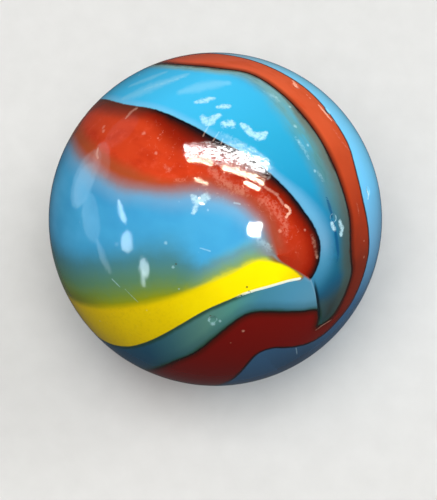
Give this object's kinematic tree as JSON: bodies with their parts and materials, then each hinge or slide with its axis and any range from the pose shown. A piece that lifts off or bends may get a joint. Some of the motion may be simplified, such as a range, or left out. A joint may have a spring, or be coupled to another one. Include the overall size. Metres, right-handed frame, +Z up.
{
  "type": "glass marble",
  "caption": "Round glass playing marble, a solid ball of sky-blue glass with red and yellow ribbons swirled flush into its surface.",
  "frame": {"origin": "centre of the ball", "axes": "+Z up through the top of the ball as it sat in the picture, -Y towards the picture's camera, +X to the picture's right; the near seam lies 69 degrees down from +Z at a bearing of -50 degrees from +X"},
  "size_m": [0.016, 0.016, 0.016],
  "materials": {
    "marble_glass": "glossy, opaque sky-blue glass with fused red and yellow ribbons, fine scratches and small struck pits"
  },
  "bodies": {
    "root": {"marble": "marble_glass"}
  },
  "joints": []
}
